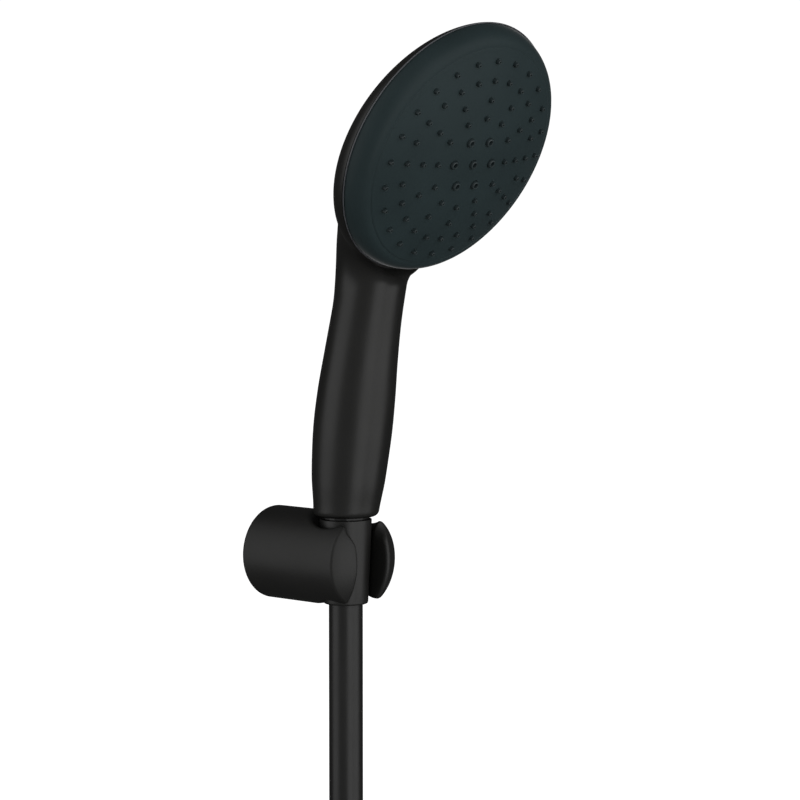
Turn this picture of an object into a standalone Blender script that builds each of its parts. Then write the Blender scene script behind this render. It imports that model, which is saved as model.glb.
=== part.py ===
"""Hand shower in its wall holder, with its hose.

The wall is the plane x = 0, +X points into the room and +Z up. The origin is
the centre of the round face that sits on the wall. Every size is in metres.
"""
from math import acos, atan2, cos, pi, radians, sin, sqrt

import bmesh
import bpy
from mathutils import Matrix, Vector

# --- driving dimensions -----------------------------------------------------
GAP = 0.0003                    # clearance between pieces that touch

HOLDER_RADIUS = 0.0208          # horizontal cylinder that carries the fork
HOLDER_LENGTH = 0.0544          # wall to the edge of the domed end
DOME_RADIUS = 0.031             # sphere that closes the front of the holder
POCKET_RADIUS = 0.0153          # rear pocket for the wall bracket
POCKET_DEPTH = 0.012
SLOT_HALF = 0.0092              # half the opening between the two horns
SLOT_FLARE_TOP = (0.012, 0.0050)        # height where it starts to widen, widening
SLOT_FLARE_BOTTOM = (0.016, 0.0010)
CUT_REACH = 0.026               # how far the cuts run past the holder's axis
GRUB_X = 0.006                  # grub screw, distance from the wall
GRUB_RADIUS = 0.0025
GRUB_INNER = -0.0154            # inner and outer end of the grub screw
GRUB_OUTER = -0.0195
BRACKET_SCREW_Y = 0.0085        # wall screw holes, to both sides of the axis

NUT_X = 0.044                   # vertical axis of the hose nut and its socket
NUT_TOP = 0.0180
NUT_BOTTOM = -0.0194
NUT_TOP_RADIUS = 0.0115
NUT_BOTTOM_RADIUS = 0.00985
NUT_MOUTH = 0.0079              # lower opening, around the hose tail
NUT_SHELF = 0.0012              # step that pulls the hose tail upwards
THREAD_RADIUS = 0.0096          # G 1/2 thread, drawn plain at its mean radius

HEAD_X = 0.1029                 # centre of the rim of the spray face
HEAD_Z = 0.1798
HEAD_TILT = radians(26.9)       # how far the spray face looks down
HEAD_RADIUS = 0.0573
HEAD_DEPTH = 0.0235             # rim to the back of the head
HEAD_SHEAR = 0.5                # the back leans towards the handle
WALL = 0.0028                   # wall thickness of the moulded handset
LIP = -0.0013                   # upper edge of the shell
BOWL_EDGE = -0.0005             # height where the bowl starts to curve in
CAVITY_RADIUS = 0.0520          # chamber behind the spray face
CAVITY_EDGE = -0.0046

FACE_RADIUS = 0.0566            # edge of the spray face
FIELD_RADIUS = 0.0500           # edge of the domed nozzle field
FIELD_HEIGHT = 0.0162           # apex of the field, ahead of the rim
FIELD_CURVE = 0.1850            # radius of the domed field
FACE_THICKNESS = 0.002
FACE_EDGE = -0.0009             # height of the lower edge of the spray face

NOZZLE_RINGS = ((0.0207, 12), (0.0286, 12), (0.0367, 24), (0.0447, 24))
NOZZLE_TURN = radians(2.7)      # the whole pattern stands a little turned
NOZZLE_RADIUS = 0.00105
NOZZLE_HOLE = 0.0016
NOZZLE_HEIGHT = 0.0012          # how far a nozzle stands out of the face
CENTRE_RING = 0.0115            # six large nozzles around a seventh
CENTRE_RADIUS = 0.0019
CENTRE_HOLE = 0.0024
INSERT_RADIUS = 0.0168
SHEET_DEPTH = 0.0012            # thickness of the soft sheet under the nozzles
PLATE_TOP = -0.0016             # both sides of the distributor plate
PLATE_BOTTOM = -0.0044
CHANNEL_DEPTH = -0.0112         # axis of the channel on its back
SCREW_CIRCLE = 0.0400

HANDLE_LEVEL = 0.0190           # level from which the handle's heights run
HANDLE_FOOT = 0.0012            # height of its lower end
HANDLE_LEAN = 0.0862            # slope of the handle's centre line at its foot
HANDLE_CURVE = 0.648            # and how it grows, per metre
HOOK_START = 0.104              # height above which the neck bends to the head
HOOK_CURVE = 5.6
HANDLE_STATIONS = (             # height above the foot, radius
    (0.0012, 0.0122), (0.0021, 0.0138), (0.0042, 0.0146), (0.0160, 0.0161),
    (0.0260, 0.0168), (0.0400, 0.01735), (0.0540, 0.0171), (0.0720, 0.0161),
    (0.0900, 0.0153), (0.0985, 0.0152), (0.1080, 0.0153), (0.1160, 0.0157),
    (0.1200, 0.0165), (0.1340, 0.0184), (0.1480, 0.0166), (0.1580, 0.0110))
BORE_ENDS = (0.018, 0.140)      # heights between which the handle is hollow
BORE_WALL = 0.0034
SOCKET_RADIUS = 0.0110          # seat of the inlet connector in the handle
SOCKET_TOP = 0.0420
TUBE_RADIUS = 0.0050
TUBE_BORE = 0.0036

HOSE_RADIUS = 0.0075
HOSE_START = -0.008             # top of the hose, inside the nut
HOSE_STRAIGHT = -0.124          # where it starts to swing to the side
COIL_RADIUS = 0.075             # middle of the coil's turns
COIL_TURNS = 2
SWING_RADIUS = 0.070            # both bends of the swing into the coil
TAIL_LENGTH = 0.054             # straight end below the coil
TIE_WIDTH = 0.012
TIE_THICKNESS = 0.0016
FERRULE_LENGTH = 0.018
END_TAIL_DROP = 0.0265          # tail collar, below the end of the hose
END_NUT_DROP = 0.0308           # middle of the end nut, below the end of the hose
END_NUT_HEIGHT = 0.0220
END_NUT_CORNER = 0.0139         # axis to a corner of the hexagon

BLACK = (0.012, 0.012, 0.011)
RUBBER = (0.016, 0.016, 0.017)
SLATE = (0.034, 0.048, 0.056)
STEEL = (0.42, 0.42, 0.41)
BRASS = (0.47, 0.36, 0.17)
WHITE = (0.62, 0.62, 0.60)


# --- tools -------------------------------------------------------------------
def clear_scene():
    for item in list(bpy.data.objects):
        bpy.data.objects.remove(item, do_unlink=True)


def new_collection(name):
    group = bpy.data.collections.new(name)
    bpy.context.scene.collection.children.link(group)
    return group


def material(name, colour, roughness, metallic=0.0):
    made = bpy.data.materials.new(name)
    made.use_nodes = True
    shader = made.node_tree.nodes["Principled BSDF"]
    shader.inputs["Base Color"].default_value = (*colour, 1.0)
    shader.inputs["Roughness"].default_value = roughness
    shader.inputs["Metallic"].default_value = metallic
    made.diffuse_color = (*colour, 1.0)
    return made


def finish(piece, look, parent=None):
    """Give a piece its own material and hang it on its joint's empty."""
    piece.data.materials.clear()
    piece.data.materials.append(material(piece.name, *look))
    if parent is not None:
        piece.parent = parent
        piece.matrix_parent_inverse = parent.matrix_world.inverted()
    return piece


def joint_empty(name, place, parent=None):
    empty = bpy.data.objects.new(name, None)
    empty.empty_display_size = 0.02
    PART.objects.link(empty)
    empty.location = place
    bpy.context.view_layer.update()
    if parent is not None:
        empty.parent = parent
        empty.matrix_parent_inverse = parent.matrix_world.inverted()
        bpy.context.view_layer.update()
    return empty


def turned(name, profile, group, place=None, steps=40, ring=False):
    """Turn a profile of (radius, height) points about its Z axis."""
    mesh = bpy.data.meshes.new(name)
    points = [(radius, 0.0, height) for radius, height in profile]
    edges = [(i, i + 1) for i in range(len(points) - 1)]
    if ring:
        edges.append((len(points) - 1, 0))
    mesh.from_pydata(points, edges, [])
    piece = bpy.data.objects.new(name, mesh)
    group.objects.link(piece)
    screw = piece.modifiers.new("turn", "SCREW")
    screw.axis = "Z"
    screw.steps = steps
    screw.render_steps = steps
    screw.use_merge_vertices = True
    screw.merge_threshold = 0.00001
    screw.use_smooth_shade = True
    if place is not None:
        piece.matrix_world = place
    return piece


def rod(name, radius, low, high, group, place=None, steps=24):
    """A plain turned rod between two heights on its own axis."""
    profile = [(0.0, high), (radius, high), (radius, low), (0.0, low)]
    return turned(name, profile, group, place, steps)


def washer(name, inner, outer, low, high, group, place=None, steps=24):
    profile = [(inner, high), (outer, high), (outer, low), (inner, low)]
    return turned(name, profile, group, place, steps, ring=True)


def seal_ring(name, radius, thickness, group, place, steps=40, sides=8):
    """An O-ring: a small circle turned about the axis."""
    profile = []
    for i in range(sides):
        angle = pi / 2 - 2 * pi * i / sides
        profile.append((radius + thickness * cos(angle), thickness * sin(angle)))
    return turned(name, profile, group, place, steps, ring=True)


def solid_copy(source, name, group, change=None):
    """Bake an object's curve or modifiers into a plain closed mesh."""
    bpy.context.view_layer.update()
    graph = bpy.context.evaluated_depsgraph_get()
    mesh = bpy.data.meshes.new_from_object(source.evaluated_get(graph))
    mesh.name = name
    work = bmesh.new()
    work.from_mesh(mesh)
    bmesh.ops.remove_doubles(work, verts=work.verts, dist=0.000002)
    if change is not None:
        for vert in work.verts:
            vert.co = change(vert.co)
    work.to_mesh(mesh)
    work.free()
    place = source.matrix_world.copy()
    bpy.data.objects.remove(source)
    copy = bpy.data.objects.new(name, mesh)
    group.objects.link(copy)
    copy.matrix_world = place
    return copy


def tube(name, points, radii, group, sides=3, closed_mesh=True):
    """A capped tube along points; its section follows the radii."""
    line = bpy.data.curves.new(name, "CURVE")
    line.dimensions = "3D"
    line.bevel_depth = 1.0
    line.bevel_resolution = sides
    line.use_fill_caps = True
    spline = line.splines.new("POLY")
    spline.points.add(len(points) - 1)
    for point, place, radius in zip(spline.points, points, radii):
        point.co = (*place, 1.0)
        point.radius = radius
    piece = bpy.data.objects.new(name, line)
    group.objects.link(piece)
    if closed_mesh:
        piece = solid_copy(piece, name, group)
    return piece


def plate(name, outline, half, group, place):
    """A flat outline, thickened to both sides."""
    line = bpy.data.curves.new(name, "CURVE")
    line.dimensions = "2D"
    line.fill_mode = "BOTH"
    line.extrude = half
    spline = line.splines.new("POLY")
    spline.points.add(len(outline) - 1)
    spline.use_cyclic_u = True
    for point, (x, y) in zip(spline.points, outline):
        point.co = (x, y, 0.0, 1.0)
    piece = bpy.data.objects.new(name, line)
    group.objects.link(piece)
    piece.matrix_world = place
    return solid_copy(piece, name, group)


def hide_cutter(cutter):
    cutter.hide_render = True
    cutter.display_type = "WIRE"


def combine(piece, other, operation):
    step = piece.modifiers.new(operation.lower(), "BOOLEAN")
    step.operation = operation
    step.solver = "EXACT"
    step.object = other
    hide_cutter(other)


def many_rods(name, places, low_high, radii, frame, sides):
    """One mesh of separate upright rods, to cut or join in a single step."""
    work = bmesh.new()
    for x, y in places:
        low, high = low_high(x, y)
        made = bmesh.ops.create_cone(
            work, cap_ends=True, segments=sides, depth=high - low,
            radius1=radii[0], radius2=radii[1])
        turn = atan2(y, x)
        shift = Matrix.Translation((x, y, (low + high) / 2))
        bmesh.ops.transform(
            work, verts=made["verts"], matrix=shift @ Matrix.Rotation(turn, 4, "Z"))
    mesh = bpy.data.meshes.new(name)
    work.to_mesh(mesh)
    work.free()
    rods = bpy.data.objects.new(name, mesh)
    CUTTERS.objects.link(rods)
    rods.matrix_world = frame
    return rods


# --- frames and rules of the shape --------------------------------------------
def head_frame():
    """Local X climbs the spray face, local Z points out of it."""
    outward = Vector((cos(HEAD_TILT), 0.0, -sin(HEAD_TILT)))
    upward = Vector((sin(HEAD_TILT), 0.0, cos(HEAD_TILT)))
    sideways = outward.cross(upward)
    frame = Matrix((upward, sideways, outward)).transposed().to_4x4()
    frame.translation = (HEAD_X, 0.0, HEAD_Z)
    return frame


def field_height(radius):
    return FIELD_HEIGHT - FIELD_CURVE + sqrt(FIELD_CURVE ** 2 - radius ** 2)


def handle_point(height):
    x = NUT_X + HANDLE_LEAN * height + HANDLE_CURVE * height ** 2
    x += HOOK_CURVE * max(0.0, height - HOOK_START) ** 2
    return Vector((x, 0.0, HANDLE_LEVEL + height))


def handle_radius(height):
    """Ease from one station to the next with a smooth slope."""
    stations = HANDLE_STATIONS
    for i in range(len(stations) - 1):
        (low, r0), (high, r1) = stations[i], stations[i + 1]
        if height <= high:
            break
    before = stations[max(i - 1, 0)]
    after = stations[min(i + 2, len(stations) - 1)]
    slope0 = (r1 - before[1]) / (high - before[0])
    slope1 = (after[1] - r0) / (after[0] - low)
    span = high - low
    t = (height - low) / span
    return (r0 * (1 + 2 * t) * (1 - t) ** 2 + slope0 * span * t * (1 - t) ** 2
            + r1 * t * t * (3 - 2 * t) + slope1 * span * t * t * (t - 1))


def nut_radius(z):
    share = (z - NUT_BOTTOM) / (NUT_TOP - NUT_BOTTOM)
    return NUT_BOTTOM_RADIUS + share * (NUT_TOP_RADIUS - NUT_BOTTOM_RADIUS)


def ring_places(radius, count, first=NOZZLE_TURN):
    angles = [first + 2 * pi * i / count for i in range(count)]
    return [(radius * cos(angle), radius * sin(angle)) for angle in angles]


def small_places():
    return [spot for ring in NOZZLE_RINGS for spot in ring_places(*ring)]


def large_places():
    return [(0.0, 0.0)] + ring_places(CENTRE_RING, 6, NOZZLE_TURN + pi / 6)


# --- the wall holder ------------------------------------------------------------
def holder_body():
    """Horizontal cylinder with a domed end, cut to a fork for the hose nut."""
    rise = DOME_RADIUS - sqrt(DOME_RADIUS ** 2 - HOLDER_RADIUS ** 2)
    centre = HOLDER_LENGTH + rise - DOME_RADIUS
    edge = atan2(HOLDER_RADIUS, DOME_RADIUS - rise)
    dome = [(DOME_RADIUS * sin(edge * i / 7), centre + DOME_RADIUS * cos(edge * i / 7))
            for i in range(7)]
    profile = dome + [
        (HOLDER_RADIUS - 0.0004, HOLDER_LENGTH + 0.0001),
        (HOLDER_RADIUS, HOLDER_LENGTH - 0.0005),
        (HOLDER_RADIUS, 0.0008), (HOLDER_RADIUS - 0.0006, 0.0),
        (POCKET_RADIUS, 0.0), (POCKET_RADIUS, POCKET_DEPTH), (0.0, POCKET_DEPTH)]
    along_x = Matrix.Rotation(pi / 2, 4, "Y")
    body = turned("holder_body", profile, PART, along_x, steps=48)

    seat = [(0.0, CUT_REACH), (0.0170, CUT_REACH), (0.0122, 0.0150),
            (nut_radius(0.012) + GAP, 0.012), (nut_radius(-0.016) + GAP, -0.016),
            (0.0125, -CUT_REACH), (0.0, -CUT_REACH)]
    upright = Matrix.Translation((NUT_X, 0.0, 0.0))
    combine(body, turned("socket_cutter", seat, CUTTERS, upright, steps=40), "DIFFERENCE")

    top, wide_top = SLOT_FLARE_TOP
    bottom, wide_bottom = SLOT_FLARE_BOTTOM
    right = [(SLOT_HALF + wide_bottom, -CUT_REACH), (SLOT_HALF, -bottom),
             (SLOT_HALF, top), (SLOT_HALF + wide_top, CUT_REACH)]
    outline = right + [(-y, z) for y, z in reversed(right)]
    reach = 0.0150
    facing_x = Matrix.Translation((NUT_X + reach, 0.0, 0.0)) @ Matrix(
        ((0, 0, 1, 0), (1, 0, 0, 0), (0, 1, 0, 0), (0, 0, 0, 1)))
    combine(body, plate("slot_cutter", outline, reach, CUTTERS, facing_x), "DIFFERENCE")

    hole = rod("grub_cutter", GRUB_RADIUS + GAP, -CUT_REACH, GRUB_INNER + 0.0010, CUTTERS,
               Matrix.Translation((GRUB_X, 0.0, 0.0)), steps=16)
    combine(body, hole, "DIFFERENCE")
    return finish(body, (BLACK, 0.42))


def wall_bracket():
    """Metal plug screwed to the wall; the holder slides over it."""
    radius = POCKET_RADIUS - GAP
    front = POCKET_DEPTH - 0.001
    along_x = Matrix.Rotation(pi / 2, 4, "Y")
    profile = [(0.0, front), (radius - 0.0008, front), (radius, front - 0.0008),
               (radius, 0.0), (0.0, 0.0)]
    bracket = turned("wall_bracket", profile, PART, along_x, steps=32)
    for side in (-1, 1):
        place = Matrix.Translation((0.0, side * BRACKET_SCREW_Y, 0.0)) @ along_x
        sunk_hole = [(0.0, 0.02), (0.0046, 0.02), (0.0046, 0.0085), (0.0023, 0.006),
                     (0.0023, -0.004), (0.0, -0.004)]
        cutter = turned(f"bracket_cutter_{side}", sunk_hole, CUTTERS, place, steps=16)
        combine(bracket, cutter, "DIFFERENCE")
    return finish(bracket, (STEEL, 0.35, 1.0))


def grub_screw():
    """Hexagon-socket screw from below that locks the holder on its bracket."""
    place = Matrix.Translation((GRUB_X, 0.0, 0.0))
    key_radius = 0.0013
    key_floor = GRUB_OUTER + 0.0018
    profile = [(0.0, GRUB_INNER), (GRUB_RADIUS - 0.0007, GRUB_INNER),
               (GRUB_RADIUS, GRUB_INNER - 0.0007), (GRUB_RADIUS, GRUB_OUTER),
               (key_radius, GRUB_OUTER), (key_radius, key_floor), (0.0, key_floor)]
    return finish(turned("holder_grub_screw", profile, PART, place, steps=12), (STEEL, 0.4, 1.0))


# --- the handset ----------------------------------------------------------------
def bowl(name, radius, depth, lip, edge, group):
    """Round back of the head, leaning towards the handle behind its edge."""
    profile = [(0.0, lip), (radius - 0.0002, lip), (radius, min(lip - 0.0002, edge))]
    steps = 8
    for i in range(1, steps + 1):
        angle = pi / 2 * i / steps
        profile.append((radius * cos(angle), edge - (depth + edge) * sin(angle)))
    source = turned(name + "_source", profile, group, FRAME, steps=40)

    shear = HEAD_SHEAR * (depth + BOWL_EDGE) / (depth + edge)

    def lean(point):
        behind = max(0.0, edge - point.z)
        return Vector((point.x - shear * behind, point.y, point.z))

    return solid_copy(source, name, group, lean)


def handle_solid(name, low, high, less, group):
    """The handle's form, or its bore when 'less' is the wall thickness."""
    outside = less == 0.0
    steps = 14
    heights = [low + (high - low) * i / steps for i in range(steps + 1)]
    if outside:
        foot = [station[0] for station in HANDLE_STATIONS[:3]]
        heights = foot + [height for height in heights if height > foot[-1]]
    radii = [handle_radius(height) - less for height in heights]
    sides = 7 if outside else 3
    return tube(name, [handle_point(h) for h in heights], radii, group, sides)


def handset_shell(pivot):
    shell = bowl("handset_shell", HEAD_RADIUS, HEAD_DEPTH, LIP + 0.0025, BOWL_EDGE, PART)
    top = HANDLE_STATIONS[-1][0]
    combine(shell, handle_solid("handle_form", HANDLE_FOOT, top, 0.0, CUTTERS), "UNION")
    rim = [(0.0, 0.020), (HEAD_RADIUS + 0.018, 0.020), (HEAD_RADIUS + 0.001, LIP), (0.0, LIP)]
    combine(shell, turned("lip_cutter", rim, CUTTERS, FRAME, steps=40), "DIFFERENCE")
    depth = HEAD_DEPTH - WALL
    cavity = bowl("head_cavity", CAVITY_RADIUS, depth, 0.006, CAVITY_EDGE, CUTTERS)
    combine(shell, cavity, "DIFFERENCE")
    bore = handle_solid("handle_bore", *BORE_ENDS, BORE_WALL, CUTTERS)
    combine(shell, bore, "DIFFERENCE")
    inlet = rod("inlet_cutter", SOCKET_RADIUS + GAP, NUT_BOTTOM, SOCKET_TOP + 0.0010, CUTTERS,
                Matrix.Translation((NUT_X, 0.0, 0.0)), steps=32)
    combine(shell, inlet, "DIFFERENCE")
    return finish(shell, (BLACK, 0.42), pivot)


def rim_ring(pivot):
    """Thin bright-edged ring between the shell and the spray face."""
    inner = FACE_RADIUS + GAP
    low = LIP + GAP
    profile = [(inner, 0.0), (HEAD_RADIUS - 0.0002, 0.0), (HEAD_RADIUS, -0.0002),
               (HEAD_RADIUS, low), (inner, low)]
    ring = turned("rim_ring", profile, PART, FRAME, steps=40, ring=True)
    return finish(ring, (SLATE, 0.3), pivot)


def spray_face(pivot):
    """Domed plate with a sloping edge and a hole for each nozzle."""
    field = [FIELD_RADIUS * i / 4 for i in range(5)]
    outer = [(radius, field_height(radius)) for radius in field]
    fall = outer[-1][1] - FACE_EDGE
    steps = 4
    for i in range(1, steps + 1):
        angle = pi / 2 * i / steps
        outer.append((FIELD_RADIUS + (FACE_RADIUS - FIELD_RADIUS) * sin(angle),
                      FACE_EDGE + fall * cos(angle)))
    inner = [(FACE_RADIUS - FACE_THICKNESS, FACE_EDGE), (FACE_RADIUS - 0.0035, 0.0030),
             (FIELD_RADIUS - 0.0002, field_height(FIELD_RADIUS) - FACE_THICKNESS)]
    for radius in field[-2::-1]:
        inner.append((radius, field_height(radius) - FACE_THICKNESS))
    face = turned("spray_face", outer + inner, PART, FRAME, steps=40)

    def through(x, y):
        return 0.0, FIELD_HEIGHT + 0.004

    radii = (NOZZLE_HOLE, NOZZLE_HOLE)
    holes = many_rods("nozzle_cutters", small_places(), through, radii, FRAME, 6)
    combine(face, holes, "DIFFERENCE")
    radii = (CENTRE_HOLE, CENTRE_HOLE)
    holes = many_rods("centre_cutters", large_places(), through, radii, FRAME, 8)
    combine(face, holes, "DIFFERENCE")
    return finish(face, (SLATE, 0.38), pivot)


def nozzle_sheet(name, inner, outer, places, radii, sides, pivot):
    """Soft sheet behind the face, with a nozzle standing in every hole."""
    top = FACE_THICKNESS + 2 * GAP
    stops = [inner + (outer - inner) * i / 3 for i in range(4)]
    over = [(radius, field_height(radius) - top) for radius in stops]
    under = [(radius, height - SHEET_DEPTH) for radius, height in reversed(over)]
    sheet = turned(name, over + under, PART, FRAME, steps=32, ring=inner > 0.0)

    def span(x, y):
        height = field_height(sqrt(x * x + y * y))
        return height - top - SHEET_DEPTH / 2, height + NOZZLE_HEIGHT

    combine(sheet, many_rods(name + "_nozzles", places, span, radii, FRAME, sides), "UNION")
    return finish(sheet, (RUBBER, 0.5), pivot)


def nozzles(pivot):
    nozzle_sheet("nozzle_mat", INSERT_RADIUS + GAP, FIELD_RADIUS - 0.0026, small_places(),
                 (NOZZLE_RADIUS, NOZZLE_RADIUS - 0.0002), 5, pivot)
    nozzle_sheet("centre_nozzle_insert", 0.0, INSERT_RADIUS, large_places(),
                 (CENTRE_RADIUS, CENTRE_RADIUS - 0.0003), 6, pivot)


def channel_frame(shift):
    """Local Z climbs along the channel behind the distributor plate."""
    middle = Matrix.Translation((shift, 0.0, CHANNEL_DEPTH))
    return FRAME @ middle @ Matrix.Rotation(pi / 2, 4, "Y")


def distributor(pivot):
    """Chamber plate whose rear channel takes the water tube."""
    edge = CAVITY_RADIUS - 0.0036
    profile = [(0.0, PLATE_TOP), (edge, PLATE_TOP), (edge, PLATE_BOTTOM), (0.0, PLATE_BOTTOM)]
    disc = turned("distributor_plate", profile, PART, FRAME, steps=40)
    along = channel_frame(0.0)
    combine(disc, rod("channel_form", 0.0074, -0.0270, 0.0080, CUTTERS, along, 24), "UNION")
    combine(disc, rod("channel_bore", TUBE_RADIUS + GAP, -0.0300, 0.0030, CUTTERS, along, 20),
            "DIFFERENCE")
    port = rod("channel_port", 0.0044, CHANNEL_DEPTH, 0.006, CUTTERS, FRAME, 20)
    combine(disc, port, "DIFFERENCE")

    def through(x, y):
        return PLATE_BOTTOM - 0.004, PLATE_TOP + 0.004

    places = ring_places(SCREW_CIRCLE, 3, 0.0)
    holes = many_rods("screw_holes", places, through, (0.0018, 0.0018), FRAME, 10)
    combine(disc, holes, "DIFFERENCE")
    finish(disc, (WHITE, 0.5), pivot)
    for number, (x, y) in enumerate(places, 1):
        place = FRAME @ Matrix.Translation((x, y, 0.0))
        domed_screw = [(0.0, 0.0010), (0.0026, 0.0004), (0.0028, -0.0013), (0.0014, -0.0013),
                       (0.0014, -0.0090), (0.0, -0.0096)]
        screw = turned(f"distributor_screw_{number}", domed_screw, PART, place, steps=12)
        finish(screw, (STEEL, 0.35, 1.0), pivot)
    seal_place = FRAME @ Matrix.Translation((0.0, 0.0, -0.0030))
    middle = (edge + CAVITY_RADIUS) / 2
    seal = seal_ring("chamber_seal", middle - 0.0001, 0.0012, PART, seal_place, steps=32, sides=6)
    finish(seal, (RUBBER, 0.6), pivot)


def water_way(pivot):
    """Inlet thread, strainer, flow limiter and the tube up the handle."""
    upright = Matrix.Translation((NUT_X, 0.0, 0.0))
    foot = HANDLE_LEVEL + HANDLE_FOOT
    profile = [(0.0062, SOCKET_TOP), (SOCKET_RADIUS, SOCKET_TOP), (SOCKET_RADIUS, foot + GAP),
               (0.0104, foot), (0.0104, NUT_TOP + GAP), (THREAD_RADIUS, NUT_TOP + GAP),
               (THREAD_RADIUS, 0.0078), (0.0090, 0.0070), (0.0072, 0.0070),
               (0.0072, 0.0150), (0.0040, 0.0150), (0.0040, 0.0300), (0.0054, 0.0300),
               (0.0054, 0.0365), (0.0062, 0.0365)]
    connector = turned("inlet_connector", profile, PART, upright, steps=24, ring=True)
    finish(connector, (BLACK, 0.45), pivot)
    limiter = washer("flow_limiter", 0.0018, 0.0069, 0.0106, 0.0146, PART, upright, 24)
    finish(limiter, (WHITE, 0.5), pivot)
    profile = [(0.0, 0.0096), (0.0030, 0.0094), (0.0069, 0.0084), (0.0069, 0.0074),
               (0.0062, 0.0074), (0.0028, 0.0086), (0.0, 0.0088)]
    finish(turned("inlet_filter", profile, PART, upright, steps=24), (STEEL, 0.4, 1.0), pivot)

    start = Vector((NUT_X, 0.0, 0.0306))
    end = FRAME @ Vector((-0.0230, 0.0, CHANNEL_DEPTH))
    lead = FRAME @ Vector((-0.0330, 0.0, CHANNEL_DEPTH))
    route = [start, Vector((NUT_X, 0.0, 0.0400)), Vector((NUT_X, 0.0, 0.0460))]
    route += [handle_point(height) for height in (0.046, 0.062, 0.078, 0.094)]
    route += [smooth_join(handle_point(0.094), handle_point(0.108), lead, end, t)
              for t in (0.3, 0.55, 0.8)]
    route += [lead, end]
    pipe = tube("water_tube", route, [TUBE_RADIUS] * len(route), PART, sides=3)
    inside = [route[0] - Vector((0.0, 0.0, 0.002))] + route[1:-1]
    inside.append(end + (end - lead) * 0.2)
    bore = tube("tube_bore", inside, [TUBE_BORE] * len(inside), CUTTERS, sides=2)
    combine(pipe, bore, "DIFFERENCE")
    finish(pipe, (WHITE, 0.5), pivot)
    thick = 0.0005
    above = upright @ Matrix.Translation((0.0, 0.0, SOCKET_TOP + 0.0011))
    seal = seal_ring("tube_seal_lower", TUBE_RADIUS + GAP + thick, thick, PART, above, 16, 5)
    finish(seal, (RUBBER, 0.6), pivot)
    thick = 0.0006
    seal = seal_ring("tube_seal_upper", TUBE_RADIUS + GAP + thick, thick, PART,
                     channel_frame(-0.0282), 16, 5)
    finish(seal, (RUBBER, 0.6), pivot)


def smooth_join(a, b, c, d, t):
    """A point of the cubic that leaves a towards b and reaches c from d's side."""
    control = c + (c - d)
    return (a * (1 - t) ** 3 + b * 3 * t * (1 - t) ** 2
            + control * 3 * t * t * (1 - t) + c * t ** 3)


# --- the hose ---------------------------------------------------------------------
def cone_nut(pivot):
    """Conical union nut that hangs the handset in the fork."""
    upright = Matrix.Translation((NUT_X, 0.0, 0.0))
    bore = THREAD_RADIUS + GAP
    profile = [(bore, NUT_TOP), (NUT_TOP_RADIUS - 0.0006, NUT_TOP),
               (NUT_TOP_RADIUS, NUT_TOP - 0.0006),
               (NUT_BOTTOM_RADIUS + 0.0001, NUT_BOTTOM + 0.0016),
               (NUT_BOTTOM_RADIUS - 0.0004, NUT_BOTTOM + 0.0005),
               (NUT_BOTTOM_RADIUS - 0.0012, NUT_BOTTOM), (NUT_MOUTH, NUT_BOTTOM),
               (NUT_MOUTH, NUT_SHELF), (bore, NUT_SHELF)]
    nut = turned("cone_nut", profile, PART, upright, steps=32, ring=True)
    finish(nut, (BLACK, 0.42), pivot)
    ring = washer("hose_washer_top", 0.0055, 0.0095, 0.0044, 0.0067, PART, upright)
    finish(ring, (RUBBER, 0.6), pivot)


def hose_end(name, place, line):
    """Swivel tail with the flange that its union nut pulls against."""
    profile = [(0.0040, 0.0041), (0.0095, 0.0041), (0.0095, 0.0015), (0.0074, 0.0015),
               (0.0074, HOSE_START + GAP), (0.0040, HOSE_START + GAP)]
    tail = turned(name, profile, PART, place, steps=20, ring=True)
    return finish(tail, (BRASS, 0.35, 1.0), line)


def hose_route():
    """Straight down out of the nut, then a swing to the side of the coil."""
    down = [(NUT_X, 0.0, HOSE_START), (NUT_X, 0.0, -0.035), (NUT_X, 0.0, -0.065),
            (NUT_X, 0.0, -0.095), (NUT_X, 0.0, HOSE_STRAIGHT)]
    swing = []
    for i in range(1, 7):
        angle = SWING_ANGLE * i / 6
        swing.append((NUT_X, SWING_RADIUS * (1 - cos(angle)),
                      HOSE_STRAIGHT - SWING_RADIUS * sin(angle)))
    for i in range(5, -1, -1):
        angle = SWING_ANGLE * i / 6
        swing.append((NUT_X, COIL_RADIUS - SWING_RADIUS * (1 - cos(angle)),
                      COIL_Z + SWING_RADIUS * sin(angle)))
    return down + swing


def hose(line):
    route = hose_route()
    piece = tube("hose", route, [HOSE_RADIUS] * len(route), PART, sides=3, closed_mesh=False)
    piece.data.bevel_resolution = 3
    finish(piece, (BLACK, 0.38), line)

    pitch = 2 * HOSE_RADIUS + 0.0004
    low = NUT_X + HOSE_RADIUS + GAP
    high = low + COIL_TURNS * pitch
    inner = COIL_RADIUS - HOSE_RADIUS
    outer = COIL_RADIUS + HOSE_RADIUS
    bevel = 0.004
    profile = [(inner + bevel, high), (outer - bevel, high), (outer, high - bevel),
               (outer, low + bevel), (outer - bevel, low), (inner + bevel, low),
               (inner, low + bevel), (inner, high - bevel)]
    axis = Matrix.Translation((0.0, 0.0, COIL_Z)) @ Matrix.Rotation(pi / 2, 4, "Y")
    coil = turned("hose_coil", profile, PART, axis, steps=32, ring=True)
    finish(coil, (BLACK, 0.38), line)
    for number, degrees in enumerate((150.0, 240.0), 1):
        coil_tie(number, radians(degrees), low, high, inner, outer, line)


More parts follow.
